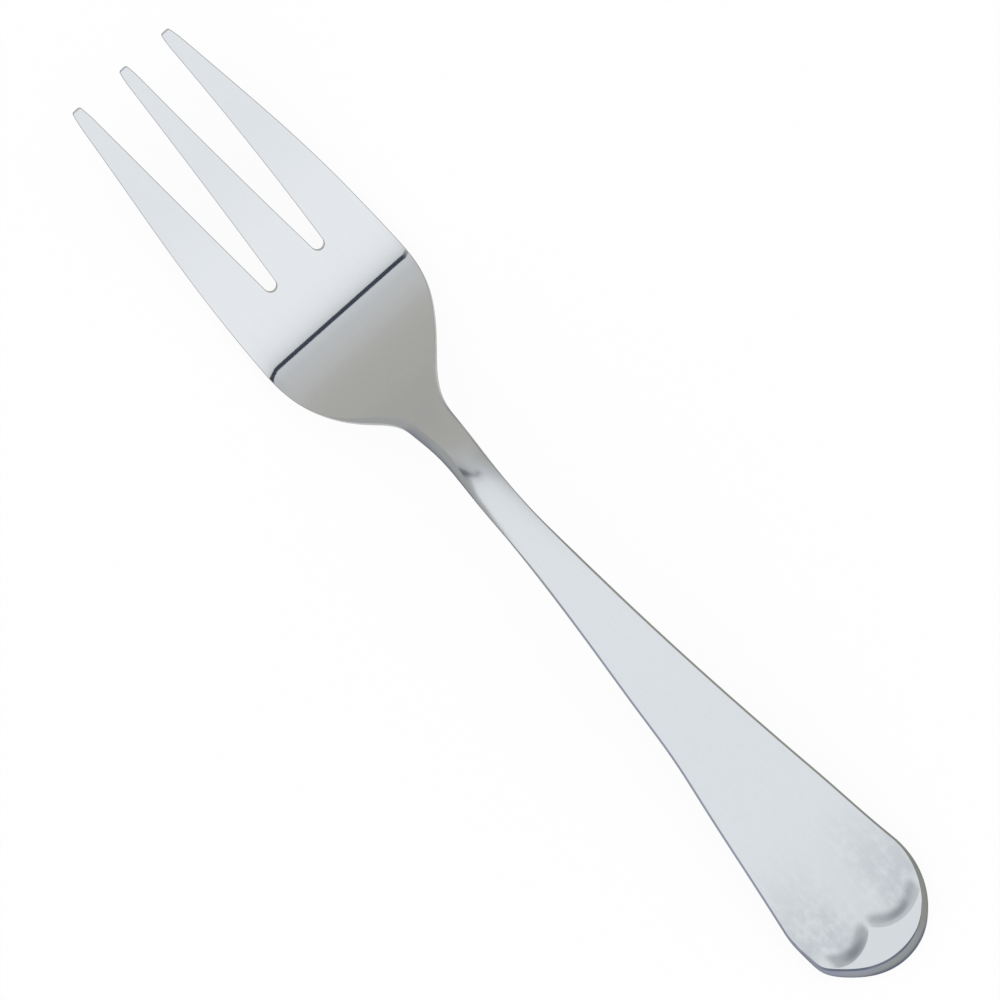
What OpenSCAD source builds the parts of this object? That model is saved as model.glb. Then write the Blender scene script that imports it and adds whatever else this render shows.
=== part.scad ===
// Salad fork with three tines, stamped and bent from one steel blank.
// It lies on a table on its heel and its handle end: tines to +X, left side to +Y, table at Z = 0.

/* [Overall] */
// Length from the handle end to the tine tips
fork_length = 156; // [140:1:175]
// Widest width of the head, across the shoulders
head_width = 25.1; // [23:0.1:28]
// Widest width of the handle, near its end
handle_width = 19.3; // [17:0.1:22]
// Width of the neck at its narrowest
neck_width = 5; // [4:0.1:7]

/* [Thickness] */
// Thickness of the broad handle
handle_thickness = 2.2; // [1.9:0.1:2.6]
// Thickness of the neck
neck_thickness = 2.9; // [2.4:0.1:3.6]
// Thickness of the head
head_thickness = 1.7; // [1.4:0.1:2.2]
// Thickness at the tine tips
tip_thickness = 1.2; // [0.9:0.1:1.4]

/* [Side view] */
// Fall from the neck to the heel, as height over length
neck_slope = 0.36; // [0.26:0.01:0.42]
// The part of that fall that the stem already has, as height over length
stem_slope = 0.04; // [0:0.01:0.1]
// Rise at the roots of the slots, as height over length
root_slope = 0.08; // [0.05:0.01:0.12]
// Rise at the tine tips, as height over length
tip_slope = 0.38; // [0.25:0.01:0.45]

/* [Tines] */
// Length of the slots, measured from the tips
slot_length = 34.7; // [28:0.1:36]
// Width of a slot at its round root
slot_root_width = 1.8; // [1.2:0.05:2]
// Width of a slot between the tips
slot_mouth_width = 6.2; // [5:0.1:6.2]
// Distance between the middles of the two slots at their roots
slot_spacing = 8.4; // [7.8:0.1:9]
// Distance between the middles of the two slots at the tips
mouth_spacing = 7.8; // [7.6:0.1:8]
// Width across the outer tines at the tips
tip_spread = 17.4; // [17:0.1:19]
// Radius of the corners of a tine tip
tip_corner = 0.4; // [0.2:0.05:0.5]

/* [Handle end] */
// Length of the rounded end of the handle
end_run = 10.7; // [9:0.1:12]
// Radius of the two lobes that end the raised panel
lobe_radius = 5; // [4.8:0.1:5.4]
// Distance between the middles of the lobes
lobe_spacing = 8.4; // [7:0.1:8.6]
// Distance from the handle end to the foot of the lobes
lobe_reach = 4.2; // [3.6:0.1:5.6]
// Height of the step down from the lobes to the end face
step_depth = 0.7; // [0.2:0.05:0.75]
// Width of the slope at the step
step_run = 2.6; // [1:0.1:2.8]

/* [Edges] */
// Radius of the upper edge along the handle and tines
edge_radius = 0.3; // [0.2:0.05:0.4]
// Radius of the upper edge at the neck
neck_radius = 0.65; // [0.4:0.05:0.8]
// Radius of the upper edge around the handle end
rim_radius = 0.7; // [0.4:0.05:0.75]
// Radius of the lower edge
lower_radius = 0.3; // [0.2:0.05:0.35]

/* [Hidden] */
steel = [0.83, 0.85, 0.87];

// Stations are set out from the handle end on a fork of this length, and stretch with the fork
nominal_length = 156;
stretch = fork_length / nominal_length;
end_from = 0;
handle_from = 14 * stretch;
stem_from = 46 * stretch;
neck_from = 79 * stretch;
shoulder_from = 96 * stretch;
root_from = 113.5 * stretch;
tines_from = fork_length - slot_length;

// A bend is [where it starts, how long it runs]
handle_lift = [3, 16] * stretch;
handle_level = [44, 34.8] * stretch;
stem_fall = [74, 10] * stretch;
neck_fall = [79.2, 13.2] * stretch;
bowl_turn = [97, 26] * stretch;
tine_sweep = [123, 38] * stretch;
shoulder_out = [88.9, 11.6] * stretch;
shoulder_in = [96.2, 19] * stretch;
tine_taper = [106.2, 39.6] * stretch;
neck_thicken = [30, 50] * stretch;
neck_thin = [88, 20] * stretch;
tip_thin = [118, 38] * stretch;
rim_fade = [5, 8] * stretch;
step_fade = [2.5, 7] * stretch;
neck_edge_in = [68, 12] * stretch;
neck_edge_out = [100, 14] * stretch;

handle_half = handle_width / 2;
neck_half = neck_width / 2;
head_half = head_width / 2;
taper_to = 74.6 * stretch;
taper_power = 1.47;
taper_lean = 0.175;
taper_from = end_run * (1 + taper_lean);
taper_half = handle_half * sqrt(1 - taper_lean * taper_lean);
end_flat = 1.2;
slot_radius = slot_root_width / 2;
slot_centre = tines_from + slot_radius;
lobe_centre = lobe_reach + lobe_radius;
step_side_fade = [4, 6.5];
panel_crown = 0.12;
rest_flat = 0.04;
edge_share = 0.3;

// Smooth step from 0 to 1, and the area under it
function smooth(t) = t <= 0 ? 0 : t >= 1 ? 1 : t * t * (3 - 2 * t);
function smooth_area(t) = t <= 0 ? 0 : t >= 1 ? t - 0.5 : pow(t, 3) - pow(t, 4) / 2;
function turn(s, bend) = smooth((s - bend[0]) / bend[1]);
function shift(s, bend) = bend[1] * smooth_area((s - bend[0]) / bend[1]);
function middle(bend) = bend[0] + bend[1] / 2;

// The heel is where the head touches the table; the handle's rise is what brings both ends down to it
bowl_change = neck_slope + root_slope;
heel_share = 0.5 - sin(asin(1 - 2 * neck_slope / bowl_change) / 3);
heel_at = bowl_turn[0] + bowl_turn[1] * heel_share;
function stem_drop(s) = stem_slope * shift(s, stem_fall) + (neck_slope - stem_slope) * shift(s, neck_fall);
heel_fall = stem_drop(heel_at) - bowl_change * shift(heel_at, bowl_turn);
handle_slope = heel_fall / (middle(handle_level) - middle(handle_lift));
function centre_height(s) =
    handle_slope * (shift(s, handle_lift) - shift(s, handle_level))
    - stem_drop(s)
    + bowl_change * shift(s, bowl_turn)
    + (tip_slope - root_slope) * shift(s, tine_sweep)
    - rest_flat;
function underside(s) = max(0, centre_height(s));

function thickness(s) =
    handle_thickness
    + (neck_thickness - handle_thickness) * turn(s, neck_thicken)
    - (neck_thickness - head_thickness) * turn(s, neck_thin)
    - (head_thickness - tip_thickness) * turn(s, tip_thin);

// Half of the width, seen from above
spread = (head_half - neck_half) / (middle(shoulder_in) - middle(shoulder_out));
tip_taper = (head_half - tip_spread / 2) / shift(fork_length, tine_taper);
function end_half(s) = max(end_flat, handle_half * sqrt(max(0, 1 - pow((end_run - s) / end_run, 2))));
function handle_taper(s) = pow(max(0, (taper_to - s) / (taper_to - taper_from)), taper_power);
function head_flare(s) =
    spread * (shift(s, shoulder_out) - shift(s, shoulder_in)) - tip_taper * shift(s, tine_taper);
function half_width(s) =
    s < taper_from ? end_half(s) : neck_half + (taper_half - neck_half) * handle_taper(s) + head_flare(s);

// Slots between the tines: round root, straight flaring sides
function slot_share(s) = max(0, (s - slot_centre) / (fork_length - slot_centre));
function slot_middle(s) = (slot_spacing + (mouth_spacing - slot_spacing) * slot_share(s)) / 2;
function slot_half(s) =
    s < slot_centre
        ? sqrt(max(0, pow(slot_radius, 2) - pow(slot_centre - s, 2)))
        : slot_radius + (slot_mouth_width / 2 - slot_radius) * slot_share(s);
function tip_inset(s) =
    let (past = s - (fork_length - tip_corner))
    past <= 0 ? 0 : tip_corner - sqrt(max(0, pow(tip_corner, 2) - past * past));

// Edges: radius along the fork, distance in from the outline, and how far the surface drops there
function upper_radius(s) =
    edge_radius
    + (rim_radius - edge_radius) * (1 - turn(s, rim_fade))
    + (neck_radius - edge_radius) * (turn(s, neck_edge_in) - turn(s, neck_edge_out));
function end_distance(s, y) =
    handle_half * (1 - norm([(end_run - s) / end_run, y / handle_half]));
function inset(s, y, low, high) =
    let (across = min(y - low, high - y))
    s < end_run ? max(0, min(across, end_distance(s, y))) : across;
function drop(distance, radius) =
    distance >= radius ? 0 : radius - sqrt(max(0, radius * radius - pow(radius - distance, 2)));

// The raised panel ends in two lobes; the end face is a step lower, and the step runs out along the handle
// and towards its sides
function lobe_gap(s, y) = lobe_radius - norm([min(0, s - lobe_centre), abs(y) - lobe_spacing / 2]);
function step_share(s, y) = min(1, max(0, 1 - lobe_gap(s, y) / step_run));
function step_profile(share) = share * share * (2 - share);
function step_height(s, y) = step_depth * (1 - turn(s, step_fade)) * (1 - turn(abs(y), step_side_fade));
function relief(s, y) = -step_height(s, y) * step_profile(step_share(s, y));
function crown(s, y) = panel_crown * (1 - pow(y / half_width(s), 2)) * (1 - turn(s, neck_fall));
function upper(s, y) = centre_height(s) + thickness(s) + crown(s, y) + relief(s, y);

// One cross-section as a ring of points: the upper side from low to high, then the lower side back
function row(low, high, radius, cells) = concat(
    [low, low + edge_share * radius],
    [for (i = [0 : cells]) low + radius + (high - low - 2 * radius) * i / cells],
    [high - edge_share * radius, high]
);
function ring(s, low, high, cells) =
    let (
        x = s - fork_length / 2,
        over = row(low, high, min(upper_radius(s), (high - low) / 3), cells),
        under = row(low, high, min(lower_radius, (high - low) / 3), cells),
        last = len(under) - 1
    )
    concat(
        [for (y = over) [x, y, upper(s, y) - drop(inset(s, y, low, high), upper_radius(s))]],
        [for (i = [last : -1 : 0])
            let (y = under[i])
            [x, y, underside(s) + drop(inset(s, y, low, high), lower_radius)]]
    );

// A closed solid through a list of rings
module loft(rings) {
    count = len(rings[0]);
    last = len(rings) - 1;
    sides = [
        for (i = [0 : last - 1], j = [0 : count - 1])
        let (k = (j + 1) % count)
        [i * count + j, i * count + k, (i + 1) * count + k, (i + 1) * count + j]
    ];
    cap = [for (j = [0 : count / 2 - 2]) [j, j + 1, count - 2 - j, count - 1 - j]];
    first_face = [for (c = cap) [c[3], c[2], c[1], c[0]]];
    last_face = [for (c = cap) [for (j = c) last * count + j]];
    polyhedron(points = [for (r = rings) each r], faces = concat(sides, first_face, last_face));
}

// The full width of the fork between two stations; a power above 1 crowds the rings to the first
module length_of_fork(from, to, steps, cells, power = 1) {
    loft([
        for (i = [0 : steps])
        let (s = from + (to - from) * pow(i / steps, power), w = half_width(s))
        ring(s, -w, w, cells)
    ]);
}

// One tine: side is 1 for left, 0 for centre, -1 for right
module tine(side, steps = 24, cells = 4, power = 1.4) {
    run = fork_length - tines_from;
    loft([
        for (i = [0 : steps])
        let (
            share = i / steps,
            eased = share < 0.5 ? pow(2 * share, power) / 2 : 1 - pow(2 - 2 * share, power) / 2,
            s = tines_from + run * eased,
            near = slot_middle(s) + (side == 0 ? -slot_half(s) : slot_half(s)),
            far = half_width(s),
            trim = tip_inset(s),
            low = side == 0 ? -near : side > 0 ? near : -far,
            high = side == 0 ? near : side > 0 ? far : -near
        )
        ring(s, low + trim, high - trim, cells)
    ]);
}

module handle_end() {
    color(steel)
        length_of_fork(end_from, handle_from, steps = 26, cells = 24, power = 1.8);
}

module handle() {
    color(steel)
        length_of_fork(handle_from, stem_from, steps = 14, cells = 8);
}

module stem() {
    color(steel)
        length_of_fork(stem_from, neck_from, steps = 14, cells = 6);
}

module neck() {
    color(steel)
        length_of_fork(neck_from, shoulder_from, steps = 16, cells = 6);
}

module shoulder() {
    color(steel)
        length_of_fork(shoulder_from, root_from, steps = 18, cells = 8);
}

module tine_root() {
    color(steel)
        length_of_fork(root_from, tines_from, steps = 12, cells = 8);
}

module left_tine() {
    color(steel)
        tine(1);
}

module centre_tine() {
    color(steel)
        tine(0);
}

module right_tine() {
    color(steel)
        tine(-1);
}

handle_end();
handle();
stem();
neck();
shoulder();
tine_root();
left_tine();
centre_tine();
right_tine();
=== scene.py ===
# Salad fork with three tines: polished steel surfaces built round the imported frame
import math

import bpy
import numpy as np
from mathutils import Matrix, Vector
from mathutils.geometry import delaunay_2d_cdt


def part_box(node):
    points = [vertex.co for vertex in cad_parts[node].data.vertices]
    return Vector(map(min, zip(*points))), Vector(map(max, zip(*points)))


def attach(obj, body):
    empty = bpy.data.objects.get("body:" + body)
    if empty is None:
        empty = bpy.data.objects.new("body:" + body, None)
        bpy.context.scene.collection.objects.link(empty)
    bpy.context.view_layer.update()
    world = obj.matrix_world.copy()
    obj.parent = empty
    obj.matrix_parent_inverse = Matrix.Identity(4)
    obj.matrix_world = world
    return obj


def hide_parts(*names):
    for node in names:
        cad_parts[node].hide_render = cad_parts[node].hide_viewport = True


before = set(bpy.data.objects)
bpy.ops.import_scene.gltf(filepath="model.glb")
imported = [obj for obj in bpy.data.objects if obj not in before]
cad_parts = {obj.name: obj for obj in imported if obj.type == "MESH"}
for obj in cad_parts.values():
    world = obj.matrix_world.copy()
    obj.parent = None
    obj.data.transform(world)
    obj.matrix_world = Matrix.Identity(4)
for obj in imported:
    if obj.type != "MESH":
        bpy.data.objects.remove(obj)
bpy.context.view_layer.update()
scene = bpy.context.scene
mm = 0.001
print("frame loaded:", ", ".join(sorted(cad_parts)))

# Stations run from the handle end to the tine tips, in mm
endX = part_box("handle_end")[0].x / mm
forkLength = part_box("centre_tine")[1].x / mm - endX


def zoneStart(node):
    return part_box(node)[0].x / mm - endX


def zoneHalf(node):
    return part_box(node)[1].y / mm


# Side view of the blank; a bend is (where it starts, how long it runs)
blank = {
    "handleLift": (3, 16),
    "handleLevel": (44, 34.8),
    "stemFall": (74, 10),
    "neckFall": (79.2, 13.2),
    "bowlTurn": (97, 26),
    "tineSweep": (123, 38),
    "neckSlope": 0.36,  # fall from the neck to the heel
    "stemSlope": 0.04,  # the part of it that the stem already has
    "rootSlope": 0.08,  # rise at the slot roots
    "tipSlope": 0.38,  # rise at the tips
    "handleThick": 2.2,
    "neckThick": 2.9,
    "headThick": 1.7,
    "tipThick": 1.2,
    "neckThicken": (30, 50),
    "neckThin": (88, 20),
    "tipThin": (118, 38),
    "restFlat": 0.04,  # depth ground off where it rests
    "handleCrown": 0.12,  # rise of the middle over the sides
    "neckCrown": 0.1,  # further rise towards the neck
    "neckCrownIn": (40, 34),
    "crownOut": (86, 10),
    "headRoll": 0.03,  # drop of the head's face towards its sides
    "headRollRun": 1.6,
    "headRollIn": (98, 8),
    "headRollOut": (117, 9),
    "stemRoll": 0.045,  # drop of the stem towards its left side
    "stemRollIn": (66, 12),
    "stemRollOut": (78, 6),
}

# Plan view: handle, neck, shoulders and the taper to the tips
outline = {
    "handleHalf": zoneHalf("handle_end"),
    "neckHalf": 2.6,
    "headHalf": 12.55,
    "tipHalf": 8.7,
    "endRun": 10.7,  # length of the round end
    "taperTo": 74.6,
    "taperPower": 1.47,
    "taperLean": 0.175,  # how far past its widest the round end runs
    "endTrim": 0.22,  # the round end is trimmer on the right
    "trimIn": (0, 3),
    "trimOut": (14, 12),
    "handleSwells": ((0.6, 5.3, 2.4), (-0.28, 38.5, 7.0)),  # on the left: height, station and run
    # Each side bends out of the neck and into the head, with slight swells
    "leftShoulder": {
        "out": (92.8, 5.7),
        "in": (92.5, 22.3),
        "swells": ((-0.38, 87.2, 6.5), (0.9, 96.8, 6.8)),
    },
    "rightShoulder": {
        "out": (90.6, 9.1),
        "in": (99.6, 15.8),
        "swells": ((-0.34, 78.1, 9.0), (0.27, 91.6, 8.0)),
    },
    "tineTaper": (106.2, 39.6),
}

# Slots between the tines: round roots and straight flaring sides
slots = {
    "rootRadius": 0.9,
    "mouthHalf": 3.12,
    "rootMiddle": 4.2,
    "mouthMiddle": 3.92,
    "belly": 0.09,  # how far a slot's sides bow halfway
    "tipCorner": 0.4,
    "tipIn": 0.2,  # how far each side draws in at the tip
    "tipInRun": 2.4,
    "tineBow": {"left_tine": 0.0, "centre_tine": 0.0, "right_tine": -0.12},  # each tine's own set
    "tipLean": {"left_tine": 0.22, "centre_tine": -0.2, "right_tine": 0.25},
}
slotFrom = zoneStart("left_tine")
slotCentre = slotFrom + slots["rootRadius"]

# Rounded edges: how wide they are seen from above, and how deep for that width
edges = {
    "upper": 0.07,
    "facing": 0.24,  # wider at the tips and slot roots
    "handle": 0.27,
    "rim": 0.56,  # round the handle end
    "rimTip": 0.48,  # wider still at the very end
    "rimLeft": 0.3,  # narrower along the left side
    "neck": 0.75,
    "neckLean": 0.5,  # wider on the left than on the right
    "lower": 0.25,
    "upperDepth": 0.4,
    "neckDepth": 0.3,
    "rimDepth": 0.55,
    "rimTipDepth": 0.07,  # deeper at the very end
    "lowerDepth": 1.0,
    "roundFrom": 0.9,  # angles at which the round starts and stops, in radians
    "roundTo": 1.15,
    "crease": 0.015,  # width of the crease inside it
    "groove": 0.28,  # fine groove inside the rim of the handle end, and its slope
    "grooveSlope": 0.88,
    "grooveFull": 0.07,  # the width from which it has that slope
    "grooveSide": (-1.0, 1.1),  # it runs out towards the right side
    "rimFade": (5, 8),
    "handleFade": (64, 16),
    "neckIn": (78, 10),
    "neckOut": (96, 8),
    "steps": 6,
}

# Raised panel: two lobes with a soft shoulder and a crisp foot
lobes = {
    "radius": 5.0,
    "centre": 0.8,  # the pair lies a little to the left of the middle line
    "middle": 4.2,
    "reach": 4.15,  # from the handle end to the foot
    "narrow": 1.03,  # stretch of the inner and outer side of each lobe
    "spread": 1.0,
    "spreadLean": -0.14,  # the right lobe runs out further
    "depth": (0.65, 0.75),  # at the right lobe and at the left one
    "footBend": (3.0, 2.5),  # 3 runs out flat at the foot, less meets it at an angle
    "sideBlend": 4.0,  # width over which the one goes into the other
    "run": 2.5,  # width of the slope
    "cuspRun": 2.5,  # it is longer between the lobes
    "cuspHalf": 0.35,
    "fade": (2.5, 7.0),  # where the step runs out, along the fork and to the sides
    "sideFade": (4.0, 6.5),
    "satinShadeFade": (6.4, 1.6),  # where the satin finish and the painted shade of the slope end
    "satinShadeSide": (6.9, 1.1),
    "satinShadeTop": (0.5, 0.42),
    "satinShadeFoot": (0.66, 1.0),  # how strong it is at the foot of the right lobe and of the left one
    "satinShadeRise": (0.08, 0.37),
    "markFrom": (6.0, 2.5),  # marks lie on the panel and on all of the handle past these stations
}


def smooth(t):
    t = np.clip(t, 0.0, 1.0)
    return t * t * (3 - 2 * t)


def smoothArea(t):
    inner = np.clip(t, 0.0, 1.0)
    return inner**3 - inner**4 / 2 + np.maximum(t - 1, 0)


def turn(s, bend):
    return smooth((s - bend[0]) / bend[1])


def shift(s, bend):
    return bend[1] * smoothArea((s - bend[0]) / bend[1])


def middle(bend):
    return bend[0] + bend[1] / 2


# The heel is where the head touches the table; the handle rises so far that its end touches it too
bowlChange = blank["neckSlope"] + blank["rootSlope"]
heelShare = 0.5 - math.sin(math.asin(1 - 2 * blank["neckSlope"] / bowlChange) / 3)  # inverse of smooth
heelAt = blank["bowlTurn"][0] + blank["bowlTurn"][1] * heelShare


def stemDrop(s):
    neckShare = blank["neckSlope"] - blank["stemSlope"]
    return blank["stemSlope"] * shift(s, blank["stemFall"]) + neckShare * shift(s, blank["neckFall"])


heelFall = stemDrop(heelAt) - bowlChange * shift(heelAt, blank["bowlTurn"])
handleSlope = heelFall / (middle(blank["handleLevel"]) - middle(blank["handleLift"]))


def centreHeight(s):
    height = handleSlope * (shift(s, blank["handleLift"]) - shift(s, blank["handleLevel"]))
    height = height - stemDrop(s) + bowlChange * shift(s, blank["bowlTurn"])
    sweep = blank["tipSlope"] - blank["rootSlope"]
    return height + sweep * shift(s, blank["tineSweep"]) - blank["restFlat"]


def thickness(s):
    thicker = blank["neckThick"] - blank["handleThick"]
    thick = blank["handleThick"] + thicker * turn(s, blank["neckThicken"])
    thick = thick - (blank["neckThick"] - blank["headThick"]) * turn(s, blank["neckThin"])
    return thick - (blank["headThick"] - blank["tipThick"]) * turn(s, blank["tipThin"])


taperFrom = outline["endRun"] * (1 + outline["taperLean"])
taperHalf = outline["handleHalf"] * math.sqrt(1 - outline["taperLean"] ** 2)
tipTaper = (outline["headHalf"] - outline["tipHalf"]) / shift(forkLength, outline["tineTaper"])


def swell(s, swells):
    return sum(height * np.exp(-(((s - at) / run) ** 2)) for height, at, run in swells)


def sideWidth(s, shoulder):
    bendOut, bendIn = shoulder["out"], shoulder["in"]
    lean = np.clip((outline["endRun"] - s) / outline["endRun"], -1, 1)
    roundEnd = outline["handleHalf"] * np.sqrt(1 - lean**2)
    toGo = np.clip((outline["taperTo"] - s) / (outline["taperTo"] - taperFrom), 0, 1)
    body = outline["neckHalf"] + (taperHalf - outline["neckHalf"]) * toGo ** outline["taperPower"]
    spread = (outline["headHalf"] - outline["neckHalf"]) / (middle(bendIn) - middle(bendOut))
    body = body + spread * (shift(s, bendOut) - shift(s, bendIn))
    body = body - tipTaper * shift(s, outline["tineTaper"]) + swell(s, shoulder["swells"])
    return np.where(s < taperFrom, roundEnd, body)


def leftEdge(s):
    return sideWidth(s, outline["leftShoulder"]) + swell(s, outline["handleSwells"])


def rightEdge(s):
    trim = outline["endTrim"] * (turn(s, outline["trimIn"]) - turn(s, outline["trimOut"]))
    return trim - sideWidth(s, outline["rightShoulder"])


def slotShare(s):
    return np.maximum(0, (s - slotCentre) / (forkLength - slotCentre))


def slotMiddle(s):
    return slots["rootMiddle"] + (slots["mouthMiddle"] - slots["rootMiddle"]) * slotShare(s)


def halfwayShare(s):
    return 4 * slotShare(s) * (1 - slotShare(s))


def slotHalf(s):
    flare = (slots["mouthHalf"] - slots["rootRadius"]) * slotShare(s)
    return slots["rootRadius"] + flare + slots["belly"] * halfwayShare(s)


def innerEdge(s):
    return slotMiddle(s) + slotHalf(s)


def centreEdge(s):
    return slotMiddle(s) - slotHalf(s)


def crown(s, y):
    wide = np.where(y > 0, sideWidth(s, outline["leftShoulder"]), sideWidth(s, outline["rightShoulder"]))
    wide = np.where(s < outline["endRun"], outline["handleHalf"], wide)
    rise = blank["handleCrown"] + blank["neckCrown"] * turn(s, blank["neckCrownIn"])
    rise = rise * (1 - turn(s, blank["crownOut"]))
    inset = np.clip(1 - (wide - np.abs(y)) / blank["headRollRun"], 0, None)
    roll = blank["headRoll"] * (turn(s, blank["headRollIn"]) - turn(s, blank["headRollOut"]))
    stemRoll = blank["stemRoll"] * (turn(s, blank["stemRollIn"]) - turn(s, blank["stemRollOut"]))
    return rise * (1 - (y / wide) ** 2) - (roll + np.where(y > 0, stemRoll, 0)) * inset**2


def lobeGap(s, y, side):  # how far inside the foot of one lobe
    ahead = np.minimum(0, s - lobes["reach"] - lobes["radius"])
    across = side * (y - lobes["centre"]) - lobes["middle"]
    across = across / np.where(across > 0, lobes["spread"] + lobes["spreadLean"] * side, lobes["narrow"])
    return lobes["radius"] - np.hypot(ahead, across)


def atCusp(y):
    return np.exp(-(((y - lobes["centre"]) / lobes["cuspHalf"]) ** 2))


def panelShare(s, y):  # 0 on the lowered face at the end, 1 on the raised panel
    gap = np.maximum(lobeGap(s, y, 1), lobeGap(s, y, -1))
    return np.clip(gap / (lobes["run"] + lobes["cuspRun"] * atCusp(y)), 0, 1)


def lobeBlend(y, pair):  # from the right lobe's value to the left one's
    toLeft = turn(y, (lobes["centre"] - lobes["sideBlend"] / 2, lobes["sideBlend"]))
    return pair[0] + (pair[1] - pair[0]) * toLeft


def lobeRelief(s, y):
    lowered = 1 - panelShare(s, y)
    ends = (1 - turn(s, lobes["fade"])) * (1 - turn(np.abs(y), lobes["sideFade"]))
    bend = lobeBlend(y, lobes["footBend"])
    return -lobeBlend(y, lobes["depth"]) * ends * lowered**2 * (bend - (bend - 1) * lowered)


def satinShadeShare(s, y):  # 1 on the slope of the step, satin and darkened with painted shade, 0 on the polished faces
    share = panelShare(s, y)
    rightFoot, leftFoot = lobes["satinShadeFoot"]
    foot = np.where(y > lobes["centre"], leftFoot, rightFoot)
    band = (foot + (1 - foot) * turn(share, lobes["satinShadeRise"])) * (1 - turn(share, lobes["satinShadeTop"]))
    band = np.where(share > 0, band, 0) * (1 - atCusp(y))
    return band * (1 - turn(s, lobes["satinShadeFade"])) * (1 - turn(np.abs(y), lobes["satinShadeSide"]))


def upperSide(s, y):
    return centreHeight(s) + thickness(s) + crown(s, y) + lobeRelief(s, y)


def underSide(s, y):
    return np.maximum(0, centreHeight(s)) + 0 * y


def upperEdge(chain):
    s = chain["s"]
    wide = edges["upper"] + (edges["handle"] - edges["upper"]) * (1 - turn(s, edges["handleFade"]))
    wide = wide + edges["facing"] * np.maximum(chain["outS"], 0) ** 2
    atRim = 1 - turn(s, edges["rimFade"])
    rim = edges["rim"] + edges["rimTip"] * chain["outS"] ** 2
    rim = rim - edges["rimLeft"] * np.maximum(chain["outY"], 0) ** 4
    wide = wide + (rim - wide) * atRim
    neck = edges["neck"] + edges["neckLean"] * chain["outY"]
    atNeck = turn(s, edges["neckIn"]) - turn(s, edges["neckOut"])
    wide = wide + (neck - wide) * atNeck
    deep = edges["upperDepth"] + (edges["neckDepth"] - edges["upperDepth"]) * atNeck
    rimDeep = edges["rimDepth"] + edges["rimTipDepth"] * chain["outS"] ** 2
    deep = deep + (rimDeep - deep) * atRim
    return wide, wide * deep, edges["groove"] * atRim * turn(chain["outY"], edges["grooveSide"])


def lowerEdge(chain):
    wide = edges["lower"] + 0 * chain["s"]
    return wide, wide * edges["lowerDepth"], 0 * wide


def slopeOf(curve, s):
    step = 0.01
    return (curve(s + step) - curve(s - step)) / (2 * step)


def faceNormal(face, s, y, up):
    step = 0.02
    alongS = (face(s + step, y) - face(s - step, y)) / (2 * step)
    alongY = (face(s, y + step) - face(s, y - step)) / (2 * step)
    normal = np.stack([-alongS, -alongY, np.ones_like(alongS)], -1) * up
    return normal / np.linalg.norm(normal, axis=-1, keepdims=True)


# A chain is a stretch of outline with the steel on its left
# keep is how much its inward steps may lean along s: 0 keeps them square to the fork
def makeChain(s, y, outS, outY, keep):
    inS, inY = -outS * keep, -outY
    reach = -(inS * outS + inY * outY)
    return {"s": s, "y": y, "outS": outS, "outY": outY, "inS": inS / reach, "inY": inY / reach}


def edgeChain(s, curve, side, keep):  # side is 1 where the steel lies below the curve
    slope = slopeOf(curve, s)
    long = np.sqrt(1 + slope**2)
    return makeChain(s, curve(s), -slope * side / long, side / long, keep)


def joinChains(*parts):
    return {key: np.concatenate([p[key] for p in parts]) for key in parts[0]}


def insidePolygon(points, ring):
    inside = np.zeros(len(points), bool)
    for (s0, y0), (s1, y1) in zip(ring, np.roll(ring, -1, 0)):
        if y0 != y1:
            crosses = (y0 > points[:, 1]) != (y1 > points[:, 1])
            inside ^= crosses & (points[:, 0] < (s1 - s0) * (points[:, 1] - y0) / (y1 - y0) + s0)
    return inside


# How the faces are meshed, in mm
meshing = {
    "cutCell": 0.6,  # spacing along the cuts between zones
    "fillGap": 0.6,  # share of a cell that filling points keep clear
    "markGap": 0.08,  # how far placed points keep from the edge
    "merge": 1e-7,
    "batch": 400,  # points compared at a time
}
allPieces = []


def clearOf(points, others, gap):
    nearest = np.full(len(points), np.inf)
    for start in range(0, len(others), meshing["batch"]):
        part = others[None, start : start + meshing["batch"]] - points[:, None]
        nearest = np.minimum(nearest, (part**2).sum(-1).min(1))
    return nearest > gap * gap


def fillPoints(ring, cell, marks):
    low, high = ring.min(0), ring.max(0)
    rowStep = cell * math.sqrt(0.75)  # rows of even triangles
    rows = np.arange(low[0] + rowStep / 2, high[0], rowStep)
    grid = []
    for i, s in enumerate(rows):
        y = np.arange(low[1] + cell * (0.25 + 0.5 * (i % 2)), high[1], cell)
        grid.append(np.stack([np.full_like(y, s), y], -1))
    grid = np.concatenate(grid)
    grid = grid[insidePolygon(grid, ring)]
    grid = grid[clearOf(grid, ring, cell * meshing["fillGap"])]
    if len(marks):
        marks = marks[insidePolygon(marks, ring)]
        marks = marks[clearOf(marks, ring, meshing["markGap"])]
        grid = grid[clearOf(grid, marks, cell * meshing["fillGap"])]
        grid = np.concatenate([marks, grid])
    return grid


# Rows of an edge from the outline inwards: distance, drop and outward slope
def edgeRows(wide, depth, groove):
    first, last = edges["roundFrom"], edges["roundTo"]
    flat, tall = math.sin(last) - math.sin(first), math.cos(first) - math.cos(last)
    fall = groove * edges["grooveSlope"]
    for angle in np.linspace(last, first, edges["steps"]):
        inward = wide * (math.sin(last) - math.sin(angle)) / flat
        drop = fall + depth * (math.cos(first) - math.cos(angle)) / tall
        yield inward, drop, depth / wide * math.tan(angle) * flat / tall
    slope = edges["grooveSlope"] * np.minimum(1, groove / edges["grooveFull"])
    wide = wide + edges["crease"]
    yield wide, fall, slope
    wide = wide + np.maximum(groove, edges["crease"])
    yield wide, 0 * wide, slope
    yield wide + edges["crease"], 0 * wide, 0 * wide


# A shell gathers the points of one piece, what is known at them, and its faces
def newShell():
    shell = {key: [] for key in ("points", "normals", "panel", "satinShade", "faces", "wallFaces")}
    return {**shell, "ownNormals": {}}


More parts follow.
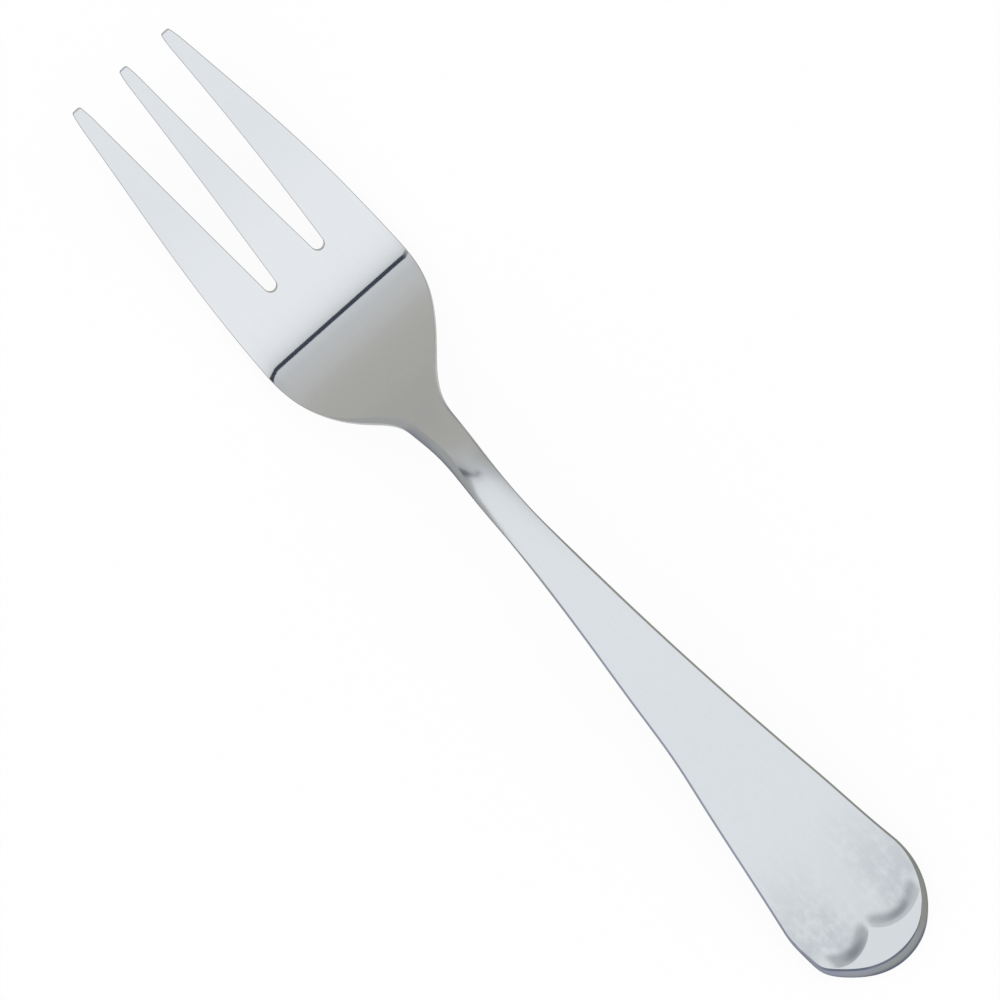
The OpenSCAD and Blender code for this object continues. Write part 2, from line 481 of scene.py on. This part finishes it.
def addPoints(shell, s, y, z, normal):
    first = len(shell["points"])
    shell["points"].extend(np.stack([s + endX, y, z], -1) * mm)
    shell["normals"].extend(normal)
    shell["panel"].extend(np.maximum(panelShare(s, y), turn(s, lobes["markFrom"])))
    shell["satinShade"].extend(satinShadeShare(s, y))
    return np.arange(first, first + len(s))


def addOnFace(shell, s, y, face, up):
    return addPoints(shell, s, y, face(s, y), faceNormal(face, s, y, up))


def flatPlace(shell, i):  # station and offset of a point
    return np.array(shell["points"][i][:2]) / mm - (endX, 0)


def outward(chain):
    return np.stack([chain["outS"], chain["outY"], 0 * chain["s"]], -1)


def addEdge(shell, chain, up, face, edge):
    grid = []
    for inward, drop, slope in edgeRows(*edge(chain)):
        s, y = chain["s"] + chain["inS"] * inward, chain["y"] + chain["inY"] * inward
        normal = faceNormal(face, s, y, up) + slope[:, None] * outward(chain)
        normal /= np.linalg.norm(normal, axis=-1, keepdims=True)
        grid.append(addPoints(shell, s, y, face(s, y) - up * drop, normal))
    return np.array(grid)


def addEdgeFaces(shell, grid, up):
    for outer, inner in zip(grid, grid[1:]):
        for i in range(len(outer) - 1):
            shell["faces"].append([outer[i], outer[i + 1], inner[i + 1], inner[i]][::up])


def fillFace(shell, ring, up, face, cell, marks):
    flat = np.array([flatPlace(shell, i) for i in ring])
    fill = fillPoints(flat, cell, marks)
    filled = [*ring, *addOnFace(shell, fill[:, 0], fill[:, 1], face, up)]
    spots = [Vector(p) for p in np.concatenate([flat, fill])]
    loop = list(range(len(ring)))
    made, _, triangles, origins, _, _ = delaunay_2d_cdt(spots, [], [loop], 1, meshing["merge"], True)
    source = [filled[ids[0]] for ids in origins]
    centres = np.array([np.mean([made[j] for j in corners], 0) for corners in triangles])
    for corners, inside in zip(triangles, insidePolygon(centres, flat)):
        if inside:  # leaves the hollows of the outline open
            shell["faces"].append([source[j] for j in corners][::up])


def addSide(shell, chains, up, face, edge, cell, marks):
    grids = [addEdge(shell, chain, up, face, edge) for chain in chains]
    ring, cuts = [], []
    for grid, after in zip(grids, grids[1:] + grids[:1]):
        cutWidth = flatPlace(shell, after[0, 0])[1] - flatPlace(shell, grid[0, -1])[1]
        count = max(2, round(abs(cutWidth) / meshing["cutCell"]))
        start, stop = flatPlace(shell, grid[-1, -1]), flatPlace(shell, after[-1, 0])
        y = np.linspace(start[1], stop[1], count + 1)[1:-1]
        cut = addOnFace(shell, np.full_like(y, start[0]), y, face, up)
        ring += [*grid[-1], *cut]
        cuts.append([*grid[:, -1], *cut, *after[::-1, 0]])
    fillFace(shell, ring, up, face, cell, marks)
    for grid in grids:
        addEdgeFaces(shell, grid, up)
    return grids, cuts


def addWall(shell, chain, over, under):
    out = outward(chain)
    for i in range(len(over) - 1):
        shell["wallFaces"].append(len(shell["faces"]))
        shell["ownNormals"][len(shell["faces"])] = [out[i], out[i + 1], out[i + 1], out[i]]
        shell["faces"].append([under[i], under[i + 1], over[i + 1], over[i]])


def addCut(shell, over, under):
    toLeft = shell["points"][over[-1]][1] > shell["points"][over[0]][1]
    for i in range(len(over) - 1):
        shell["ownNormals"][len(shell["faces"])] = [(1 if toLeft else -1, 0, 0)] * 4
        shell["faces"].append([under[i], under[i + 1], over[i + 1], over[i]])


def makeMesh(node, shell):
    mesh = bpy.data.meshes.new(node)
    faces = [[int(i) for i in face] for face in shell["faces"]]
    mesh.from_pydata([tuple(p) for p in shell["points"]], [], faces)
    for label in ("panel", "satinShade"):
        values = np.array(shell[label], np.float32)
        mesh.attributes.new(label, "FLOAT", "POINT").data.foreach_set("value", values)
    for i in shell["wallFaces"]:
        mesh.polygons[i].material_index = 1
    corners = []
    for i, face in enumerate(faces):
        corners += shell["ownNormals"].get(i) or [shell["normals"][v] for v in face]
    mesh.shade_smooth()
    mesh.normals_split_custom_set([tuple(float(c) for c in n) for n in corners])
    return mesh


def buildPlate(node, chains, cell, marks=()):
    shell = newShell()
    overGrids, overCuts = addSide(shell, chains, 1, upperSide, upperEdge, cell, np.array(marks))
    underGrids, underCuts = addSide(shell, chains, -1, underSide, lowerEdge, cell, ())
    for chain, over, under in zip(chains, overGrids, underGrids):
        addWall(shell, chain, over[0], under[0])
    for over, under in zip(overCuts, underCuts):
        addCut(shell, over, under)
    piece = bpy.data.objects.new(node + "Steel", makeMesh(node, shell))
    scene.collection.objects.link(piece)
    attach(piece, "root")
    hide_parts(node)
    allPieces.append(piece)
    print(f"{piece.name}: {len(shell['points'])} points, {len(shell['faces'])} faces")


def spaced(start, stop, cell):
    return np.linspace(start, stop, max(2, round(abs(stop - start) / cell)) + 1)


# Handle end: round outline, rim and two lobes
handleEnd = {
    "cell": 0.4,
    "edgePoints": 140,
    "squareFrom": 8.0,  # from here the edge rows turn square to the cut
    "lobeRows": (-0.03, 0.03, 0.35, 0.7, 1.05, 1.4, 1.75, 2.1, 2.45),  # rows of points inside a lobe's foot
    "lobeStep": 0.16,
    "lobeStop": 9.6,
    "lobeGap": 0.04,  # kept clear between the lobes
}


def lobeMarks():
    marks = []
    for gap in handleEnd["lobeRows"]:
        radius = lobes["radius"] - gap
        for angle in spaced(-math.pi / 2, math.pi / 2, handleEnd["lobeStep"] / radius):
            s = lobes["reach"] + lobes["radius"] - radius * math.cos(angle)
            for side in (1, -1):
                stretch = lobes["spread"] + lobes["spreadLean"] * side if angle > 0 else lobes["narrow"]
                across = lobes["middle"] + radius * math.sin(angle) * stretch
                if across > handleEnd["lobeGap"] and s < handleEnd["lobeStop"]:
                    marks.append((s, lobes["centre"] + side * across))
    return marks


def buildHandleEnd():
    stop = zoneStart("handle")
    reach = math.acos(-outline["taperLean"])
    angle = np.linspace(-reach, reach, handleEnd["edgePoints"])
    s = outline["endRun"] * (1 - np.cos(angle))
    y = np.where(angle < 0, leftEdge(s), rightEdge(s))
    outS, outY = np.gradient(y), -np.gradient(s)
    long = np.hypot(outS, outY)
    square = (handleEnd["squareFrom"], stop - handleEnd["squareFrom"])
    tip = makeChain(s, y, outS / long, outY / long, 1 - turn(s, square))
    s = spaced(taperFrom, stop, handleEnd["cell"])[1:]
    left = edgeChain(s[::-1], leftEdge, 1, 1 - turn(s[::-1], square))
    right = edgeChain(s, rightEdge, -1, 1 - turn(s, square))
    buildPlate("handle_end", [joinChains(left, tip, right)], handleEnd["cell"], lobeMarks())


# Handle, stem, neck and shoulder: full-width lengths of the blank
lengths = {"handle": 0.8, "stem": 0.7, "neck": 0.4, "shoulder": 0.6}


def buildLength(node, after, cell):
    s = spaced(zoneStart(node), zoneStart(after), cell)
    buildPlate(node, [edgeChain(s, rightEdge, -1, 0), edgeChain(s[::-1], leftEdge, 1, 0)], cell)


# Tine root: the head up to the middle of the round slot roots
tineRoot = {"cell": 0.5, "slotPoints": 28}


def slotChain(middleY):
    angle = np.linspace(0, math.pi, tineRoot["slotPoints"])
    s = slotCentre - slots["rootRadius"] * np.sin(angle)
    y = middleY - slots["rootRadius"] * np.cos(angle)
    return makeChain(s, y, np.sin(angle), np.cos(angle), np.ones_like(s))


def buildTineRoot():
    s = spaced(zoneStart("tine_root"), slotCentre, tineRoot["cell"])
    right, left = edgeChain(s, rightEdge, -1, 0), edgeChain(s[::-1], leftEdge, 1, 0)
    between = [slotChain(-slots["rootMiddle"]), slotChain(slots["rootMiddle"])]
    buildPlate("tine_root", [right, *between, left], tineRoot["cell"])


# Tines: one chain up one side, round the blunt tip and down the other
tines = {"cell": 0.5, "cornerPoints": 7, "tipPoints": 4, "squareRun": 3.0}


def buildTine(node, lowEdge, highEdge):
    def lean(s):
        return slots["tipLean"][node] * slotShare(s) ** 2 + slots["tineBow"][node] * halfwayShare(s)

    def drawIn(s):
        return slots["tipIn"] * np.clip(1 - (forkLength - s) / slots["tipInRun"], 0, 1) ** 2

    def low(s):
        return lowEdge(s) + lean(s) + drawIn(s)

    def high(s):
        return highEdge(s) + lean(s) - drawIn(s)

    corner = slots["tipCorner"]
    s = spaced(slotCentre, forkLength - corner, tines["cell"])
    keep = turn(s, (slotCentre, tines["squareRun"]))
    lowY, highY = low(s[-1]) + corner, high(s[-1]) - corner
    angle = np.linspace(-math.pi / 2, math.pi / 2, 2 * tines["cornerPoints"])[1:-1]
    half = len(angle) // 2
    flatY = np.linspace(lowY, highY, tines["tipPoints"] + 2)[1:-1]
    arcY = np.concatenate([np.full(half, lowY), flatY, np.full(half, highY)])
    turnBy = np.concatenate([angle[:half], 0 * flatY, angle[half:]])
    outS, outY = np.cos(turnBy), np.sin(turnBy)
    tip = makeChain(s[-1] + corner * outS, arcY + corner * outY, outS, outY, np.ones_like(outS))
    up, down = edgeChain(s, low, -1, keep), edgeChain(s[::-1], high, 1, keep[::-1])
    buildPlate(node, [joinChains(up, tip, down)], tines["cell"])


buildHandleEnd()
for name, follower in zip(lengths, ["stem", "neck", "shoulder", "tine_root"]):
    buildLength(name, follower, lengths[name])
buildTineRoot()
buildTine("left_tine", innerEdge, leftEdge)
buildTine("centre_tine", lambda s: -centreEdge(s), centreEdge)
buildTine("right_tine", rightEdge, lambda s: -innerEdge(s))


# Node helpers
def addNode(tree, kind, **settings):
    node = tree.nodes.new(kind)
    for key, value in settings.items():
        setattr(node, key, value)
    return node


def feed(tree, socket, value):
    if isinstance(value, bpy.types.NodeSocket):
        tree.links.new(value, socket)
    else:
        socket.default_value = value


def calc(tree, operation, *values, clamp=False):
    node = addNode(tree, "ShaderNodeMath", operation=operation, use_clamp=clamp)
    for socket, value in zip(node.inputs, values):
        feed(tree, socket, value)
    return node.outputs[0]


def ramp(tree, value, low, high, atLow, atHigh):
    node = addNode(tree, "ShaderNodeMapRange", interpolation_type="SMOOTHSTEP")
    for socket, given in zip(node.inputs, (value, low, high, atLow, atHigh)):
        feed(tree, socket, given)
    return node.outputs[0]


def blendColour(tree, factor, first, second, mode="MIX"):
    node = addNode(tree, "ShaderNodeMix", data_type="RGBA", blend_type=mode)
    for socket, value in ((node.inputs[0], factor), (node.inputs[6], first), (node.inputs[7], second)):
        feed(tree, socket, value)
    return node.outputs[2]


def noise(tree, vector, detail, roughness):
    node = addNode(tree, "ShaderNodeTexNoise")
    for label, value in (("Vector", vector), ("Scale", 1.0), ("Detail", detail), ("Roughness", roughness)):
        feed(tree, node.inputs[label], value)
    return node.outputs["Fac"]


def makeGroup(name, inputs, output):
    group = bpy.data.node_groups.new(name, "ShaderNodeTree")
    group.interface.new_socket("Place", in_out="INPUT", socket_type="NodeSocketVector")
    for label, value in inputs.items():
        socket = group.interface.new_socket(label, in_out="INPUT", socket_type="NodeSocketFloat")
        socket.default_value = value
    group.interface.new_socket(output, in_out="OUTPUT", socket_type="NodeSocketFloat")
    return group, addNode(group, "NodeGroupInput").outputs, addNode(group, "NodeGroupOutput").inputs


def placeGroup(tree, group, place, **values):
    node = addNode(tree, "ShaderNodeGroup", node_tree=group)
    tree.links.new(place, node.inputs["Place"])
    for label, value in values.items():
        feed(tree, node.inputs[label], value)
    return node.outputs[0]


# Fine lines left by the polishing wheel, running along the fork
polish = {"detail": 3, "roughness": 0.6, "contrast": (0.3, 0.7)}


def makePolishLines():
    group, given, out = makeGroup("polishLines", {"Length": 0.012, "Spacing": 0.0003}, "Lines")
    scale = addNode(group, "ShaderNodeCombineXYZ")
    for socket, label in zip(scale.inputs, ("Length", "Spacing", "Spacing")):
        group.links.new(given[label], socket)
    spread = addNode(group, "ShaderNodeVectorMath", operation="DIVIDE")
    group.links.new(given["Place"], spread.inputs[0])
    group.links.new(scale.outputs[0], spread.inputs[1])
    grain = noise(group, spread.outputs[0], polish["detail"], polish["roughness"])
    group.links.new(ramp(group, grain, *polish["contrast"], 0, 1), out["Lines"])
    return group


# Mottled marks from handling: fine specks, short streaks along the fork and broad clouds
handling = {
    "layers": ((1.0, 1.0, 0.35), (0.2, 0.9, 0.3), (0.22, 0.28, 0.35)),  # fineness along, across, and share
    "detail": 3,
    "roughness": 0.6,
    "bareLevel": 0.59,  # marks start above this level, and lower by up to coverDrop
    "coverDrop": 0.4,
    "contrast": 0.22,
}


def makeHandlingMarks():
    group, given, out = makeGroup("handlingMarks", {"Size": 0.001, "Cover": 0.5}, "Marks")
    mixed = 0.0
    for along, across, share in handling["layers"]:
        stretch = addNode(group, "ShaderNodeVectorMath", operation="MULTIPLY")
        group.links.new(given["Place"], stretch.inputs[0])
        stretch.inputs[1].default_value = (along, across, across)
        spread = addNode(group, "ShaderNodeVectorMath", operation="SCALE")
        group.links.new(stretch.outputs[0], spread.inputs[0])
        group.links.new(calc(group, "DIVIDE", 1.0, given["Size"]), spread.inputs["Scale"])
        layer = noise(group, spread.outputs[0], handling["detail"], handling["roughness"])
        mixed = calc(group, "MULTIPLY_ADD", layer, share, mixed)
    low = calc(group, "MULTIPLY_ADD", given["Cover"], -handling["coverDrop"], handling["bareLevel"])
    high = calc(group, "ADD", low, handling["contrast"])
    group.links.new(ramp(group, mixed, low, high, 0, 1), out["Marks"])
    return group


polishLines = makePolishLines()
handlingMarks = makeHandlingMarks()

# Faces are mirror polished, softer at the neck, darker towards the handle end and the tips, and marked from
# handling at the end
steel = {
    "colour": (0.79, 0.82, 0.85, 1),
    "dimColour": (0.62, 0.655, 0.69, 1),
    "markColour": (0.49, 0.525, 0.56, 1),
    "lineColour": (0.93, 0.935, 0.94, 1),
    # colour of the painted shade on the slope of the step
    "slopeShadeColour": (0.62, 0.63, 0.635, 1),
    # Station, and the share of the darker colour or the roughness there
    "dimAt": ((4.0, 0.7), (28.0, 0.5), (76.0, 0.4), (112.0, 0.0), (124.0, 0.0), (140.0, 0.3)),
    "roughAt": ((50.0, 0.1), (79.0, 0.13), (92.0, 0.12), (108.0, 0.03)),
    "lineLength": 9.0,
    "lineSpacing": 0.28,
    "lineShare": 0.25,
    "markSize": 1.1,
    "markCover": 0.55,
    "markFrom": (4.0, 24.0),  # stations between which the marks fade
    "markSides": (0.5, 5.0),  # they gather away from the middle line
    "markMiddle": 0.25,
    "markShare": 0.8,
    "markRough": 0.07,
    "satinRough": 0.1,
    "bumpHeight": 0.002,
    "bumpStrength": 0.1,
}

# Walls are tumbled, and their dark colour is painted shade standing in for the shadowed floor that they
# would mirror
walls = {
    "colour": (0.28, 0.285, 0.295, 1),
    "lineColour": (0.23, 0.235, 0.245, 1),
    "lineLength": 3.0,
    "lineSpacing": 0.35,
    "markSize": 1.6,
    "markCover": 0.5,
    "rough": 0.22,
    "markRough": 0.08,
}


def station(mmAlong):
    return (mmAlong + endX) * mm


def profile(tree, along, stops):
    value = stops[0][1]
    for (low, atLow), (high, atHigh) in zip(stops, stops[1:]):
        step = ramp(tree, along, station(low), station(high), 0, atHigh - atLow)
        value = calc(tree, "ADD", value, step)
    return value


def newMetal(name):
    material = bpy.data.materials.new(name)
    material.use_nodes = True
    shader = material.node_tree.nodes["Principled BSDF"]
    shader.inputs["Metallic"].default_value = 1
    return material, material.node_tree, shader


def placeWear(tree, place, finish):
    length, spacing = finish["lineLength"] * mm, finish["lineSpacing"] * mm
    lines = placeGroup(tree, polishLines, place, Length=length, Spacing=spacing)
    marks = placeGroup(tree, handlingMarks, place, Size=finish["markSize"] * mm, Cover=finish["markCover"])
    return lines, marks


def makeSteel():
    material, tree, shader = newMetal("polishedSteel")
    place = addNode(tree, "ShaderNodeTexCoord").outputs["Object"]
    axis = addNode(tree, "ShaderNodeSeparateXYZ")
    tree.links.new(place, axis.inputs[0])
    along, across = axis.outputs[0], calc(tree, "ABSOLUTE", axis.outputs[1])
    lines, marks = placeWear(tree, place, steel)
    panel = addNode(tree, "ShaderNodeAttribute", attribute_name="panel").outputs["Fac"]
    satinShade = addNode(tree, "ShaderNodeAttribute", attribute_name="satinShade").outputs["Fac"]
    handled = ramp(tree, along, *(station(s) for s in steel["markFrom"]), 1, 0)
    sides = ramp(tree, across, *(y * mm for y in steel["markSides"]), steel["markMiddle"], 1)
    for share in (handled, sides, panel):
        marks = calc(tree, "MULTIPLY", marks, share)
    dimShare = profile(tree, along, steel["dimAt"])
    lineShare = calc(tree, "MULTIPLY", lines, steel["lineShare"])
    markShare = calc(tree, "MULTIPLY", marks, steel["markShare"])
    colour = blendColour(tree, dimShare, steel["colour"], steel["dimColour"])
    colour = blendColour(tree, lineShare, colour, steel["lineColour"], "MULTIPLY")
    colour = blendColour(tree, markShare, colour, steel["markColour"])
    # Painted shade: the slope of the step is darkened in colour, besides the roughness of its satin finish
    colour = blendColour(tree, satinShade, colour, steel["slopeShadeColour"], "MULTIPLY")
    tree.links.new(colour, shader.inputs["Base Color"])
    rough = calc(tree, "MULTIPLY_ADD", marks, steel["markRough"], profile(tree, along, steel["roughAt"]))
    rough = calc(tree, "MULTIPLY_ADD", satinShade, steel["satinRough"], rough)
    tree.links.new(rough, shader.inputs["Roughness"])
    bump = addNode(tree, "ShaderNodeBump")
    bump.inputs["Strength"].default_value = steel["bumpStrength"]
    bump.inputs["Distance"].default_value = steel["bumpHeight"] * mm
    tree.links.new(lines, bump.inputs["Height"])
    tree.links.new(bump.outputs[0], shader.inputs["Normal"])
    return material


def makeWalls():
    material, tree, shader = newMetal("tumbledShadedSteel")
    place = addNode(tree, "ShaderNodeTexCoord").outputs["Object"]
    lines, marks = placeWear(tree, place, walls)
    # Painted shade: the walls' dark colour stands for the shadowed floor they mirror
    colour = blendColour(tree, lines, walls["colour"], walls["lineColour"])
    tree.links.new(colour, shader.inputs["Base Color"])
    rough = calc(tree, "MULTIPLY_ADD", marks, walls["markRough"], walls["rough"])
    tree.links.new(rough, shader.inputs["Roughness"])
    return material


polishedSteel, tumbledShadedSteel = makeSteel(), makeWalls()
for piece in allPieces:
    piece.data.materials.append(polishedSteel)
    piece.data.materials.append(tumbledShadedSteel)
print("steel made")

# Floor: pale and plain, white to the eye and to the metal, and it keeps the shadow
floor = {
    "size": 6.0,  # in metres
    "gap": 0.01,  # under the fork, in mm
    "colour": (0.96, 0.96, 0.96, 1),
    "glow": 0.91,
}


def makeFloor():
    half = floor["size"] / 2
    mesh = bpy.data.meshes.new("floor")
    corners = [(-half, -half, 0), (half, -half, 0), (half, half, 0), (-half, half, 0)]
    mesh.from_pydata(corners, [], [(0, 1, 2, 3)])
    plane = bpy.data.objects.new("floor", mesh)
    plane.location.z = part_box("handle_end")[0].z - floor["gap"] * mm
    scene.collection.objects.link(plane)
    material = bpy.data.materials.new("floorPaper")
    material.use_nodes = True
    tree = material.node_tree
    shader = tree.nodes["Principled BSDF"]
    shader.inputs["Base Color"].default_value = floor["colour"]
    shader.inputs["Roughness"].default_value = 1
    shader.inputs["Specular IOR Level"].default_value = 0
    light = addNode(tree, "ShaderNodeLightPath")
    seen = calc(tree, "MAXIMUM", light.outputs["Is Camera Ray"], light.outputs["Is Glossy Ray"])
    seen = calc(tree, "MAXIMUM", seen, light.outputs["Is Transmission Ray"])
    glow = addNode(tree, "ShaderNodeEmission")
    mix = addNode(tree, "ShaderNodeMixShader")
    tree.links.new(calc(tree, "MULTIPLY", seen, floor["glow"]), mix.inputs[0])
    tree.links.new(shader.outputs[0], mix.inputs[1])
    tree.links.new(glow.outputs[0], mix.inputs[2])
    tree.links.new(mix.outputs[0], tree.nodes["Material Output"].inputs["Surface"])
    mesh.materials.append(material)


makeFloor()

# Studio: a large white panel overhead in a grey room
# Places are tangents from straight up, towards +X and +Y
studio = {
    "panelFrom": (-0.9, -0.45),
    "panelTo": (0.372, 0.42),
    "panelTwist": 0.45,  # the edge ahead runs slanting outside its middle
    "panelSquare": 0.04,
    "panelFade": (-0.8, -0.46),  # it dims softly behind
    "cornerFrom": 0.2,  # its corners ahead are cut off slanting between these places
    "cornerTo": 0.5,
    "cornerCut": 1.3,
    "edgeFall": 0.34,  # how much the panel dims at its edge ahead
    "edgeRun": 0.08,
    "gap": 0.032,  # dark frame ahead
    "gapFrom": 0.09,
    "gapGrow": 0.6,  # it widens to the left
    "gapTo": 0.27,
    "gapColour": (0.05, 0.058, 0.08, 1),
    "gapFade": (-0.12, -0.02),
    "nearAhead": (0.735, 0.745, 0.765, 1),
    "ahead": (0.48, 0.458, 0.42, 1),
    "aheadRun": 0.25,
    "nearBehind": (0.5, 0.51, 0.54, 1),
    "behind": (0.41, 0.405, 0.39, 1),
    "behindRun": 0.2,
    "leftAhead": (0.42, 0.415, 0.4, 1),
    "leftRun": (0.12, 0.22),
    "left": (0.4, 0.415, 0.49, 1),
    "right": (0.37, 0.36, 0.31, 1),
    "wallBlend": 0.3,  # how softly one wall of the room goes into the next
    "low": (0.14, 0.16, 0.22, 1),  # darker towards the floor, then the pale floor's edge
    "lowRise": (0.26, 0.52),
    "horizon": (0.62, 0.62, 0.62, 1),
    "horizonRise": (0.02, 0.22),
    "flattest": 0.05,
}


def makeStudio():
    world = bpy.data.worlds.new("studio")
    scene.world = world
    world.use_nodes = True
    tree = world.node_tree
    back = tree.nodes["Background"]
    axis = addNode(tree, "ShaderNodeSeparateXYZ")
    tree.links.new(addNode(tree, "ShaderNodeTexCoord").outputs["Generated"], axis.inputs[0])
    rise = calc(tree, "MAXIMUM", axis.outputs[2], studio["flattest"])
    forward, sideward = (calc(tree, "DIVIDE", axis.outputs[i], rise) for i in range(2))

    def between(value, low, high):
        return calc(tree, "MINIMUM", calc(tree, "MAXIMUM", value, low), high)

    def fading(past, run):
        return calc(tree, "EXPONENT", calc(tree, "DIVIDE", calc(tree, "MAXIMUM", past, 0.0), -run))

    # How far a direction lies past each edge of the panel
    square = between(sideward, -studio["panelSquare"], studio["panelSquare"])
    slant = calc(tree, "SUBTRACT", sideward, square)
    edgeAhead = calc(tree, "MULTIPLY_ADD", slant, studio["panelTwist"], studio["panelTo"][0])
    ahead = calc(tree, "SUBTRACT", forward, edgeAhead)
    behind = calc(tree, "SUBTRACT", studio["panelFrom"][0], forward)
    corner = between(forward, studio["cornerFrom"], studio["cornerTo"])
    corner = calc(tree, "SUBTRACT", corner, studio["cornerFrom"])
    corner = calc(tree, "MULTIPLY", corner, studio["cornerCut"])
    left = calc(tree, "ADD", calc(tree, "SUBTRACT", sideward, studio["panelTo"][1]), corner)
    right = calc(tree, "ADD", calc(tree, "SUBTRACT", studio["panelFrom"][1], sideward), corner)
    lengthwise, across = calc(tree, "MAXIMUM", ahead, behind), calc(tree, "MAXIMUM", left, right)

    # The room's walls, darker towards the floor
    nearAhead, nearBehind = fading(ahead, studio["aheadRun"]), fading(behind, studio["behindRun"])
    aheadColour = blendColour(tree, nearAhead, studio["ahead"], studio["nearAhead"])
    behindColour = blendColour(tree, nearBehind, studio["behind"], studio["nearBehind"])
    foreAft = blendColour(tree, calc(tree, "GREATER_THAN", forward, 0.0), behindColour, aheadColour)
    leftShare = ramp(tree, forward, *studio["leftRun"], 0, 1)
    leftColour = blendColour(tree, leftShare, studio["left"], studio["leftAhead"])
    sideways = blendColour(tree, calc(tree, "GREATER_THAN", sideward, 0.0), studio["right"], leftColour)
    blend = studio["wallBlend"]
    sideShare = ramp(tree, calc(tree, "SUBTRACT", across, lengthwise), -blend, blend, 0, 1)
    room = blendColour(tree, sideShare, foreAft, sideways)
    lowShare = ramp(tree, axis.outputs[2], *studio["lowRise"], 1, 0)
    room = blendColour(tree, lowShare, room, studio["low"])
    horizonShare = ramp(tree, axis.outputs[2], *studio["horizonRise"], 1, 0)
    room = blendColour(tree, horizonShare, room, studio["horizon"])

    # The dark frame ahead of the panel
    wider = calc(tree, "MAXIMUM", calc(tree, "SUBTRACT", sideward, studio["gapFrom"]), 0.0)
    gap = calc(tree, "MULTIPLY_ADD", wider, studio["gapGrow"], studio["gap"])
    inGap = ramp(tree, sideward, *studio["gapFade"], 0, 1)
    for value, test, limit in (
        (ahead, "GREATER_THAN", 0.0),
        (ahead, "LESS_THAN", gap),
        (sideward, "LESS_THAN", studio["gapTo"]),
    ):
        inGap = calc(tree, "MULTIPLY", inGap, calc(tree, test, value, limit))
    room = blendColour(tree, inGap, room, studio["gapColour"])

    # The panel, dimmer at its edges; only reflections see it
    dim = calc(tree, "EXPONENT", calc(tree, "DIVIDE", ahead, studio["edgeRun"]))
    panel = calc(tree, "SUBTRACT", 1.0, calc(tree, "MULTIPLY", dim, studio["edgeFall"]), clamp=True)
    panel = blendColour(tree, ramp(tree, forward, *studio["panelFade"], 1, 0), panel, studio["nearBehind"])
    onPanel = calc(tree, "LESS_THAN", calc(tree, "MAXIMUM", lengthwise, across), 0.0)
    light = addNode(tree, "ShaderNodeLightPath")
    seen = blendColour(tree, onPanel, room, panel)
    plain = blendColour(tree, light.outputs["Is Glossy Ray"], (1, 1, 1, 1), seen)
    tree.links.new(plain, back.inputs["Color"])
    back.inputs["Strength"].default_value = 1


makeStudio()
print("floor and studio made")

# Camera at the photograph's angle: it leans to the handle end and a little to the fork's right
view = {
    "target": (77.98, -0.05),
    "leanBack": 10.53,
    "leanRight": 1.04,
    "distance": 600.0,
    "width": 129.03,
    "turn": (-0.6606, 0.7507),  # where the tines point in the picture, right and up
    "sensor": 36.0,
    "clip": (0.01, 20.0),  # in metres
}


def makeCamera():
    s, y = view["target"]
    height = float(upperSide(np.array([s]), np.array([y]))[0])
    target = Vector((s + endX, y, height)) * mm
    leanBack, leanRight = math.radians(view["leanBack"]), math.radians(view["leanRight"])
    back = Vector((-math.tan(leanBack), -math.tan(leanRight), 1)).normalized()
    along = (Vector((1, 0, 0)) - back * back.x).normalized()
    across = back.cross(along)
    rightward, upward = view["turn"]
    right = (along * rightward - across * upward).normalized()
    camera = bpy.data.cameras.new("camera")
    camera.sensor_width = view["sensor"]
    camera.lens = camera.sensor_width * view["distance"] / view["width"]
    camera.clip_start, camera.clip_end = view["clip"]
    body = bpy.data.objects.new("camera", camera)
    turned = Matrix((right, back.cross(right), back)).transposed().to_4x4()
    body.matrix_world = Matrix.Translation(target + back * view["distance"] * mm) @ turned
    scene.collection.objects.link(body)
    scene.camera = body


makeCamera()
scene.view_settings.view_transform = "Standard"
print("camera set")
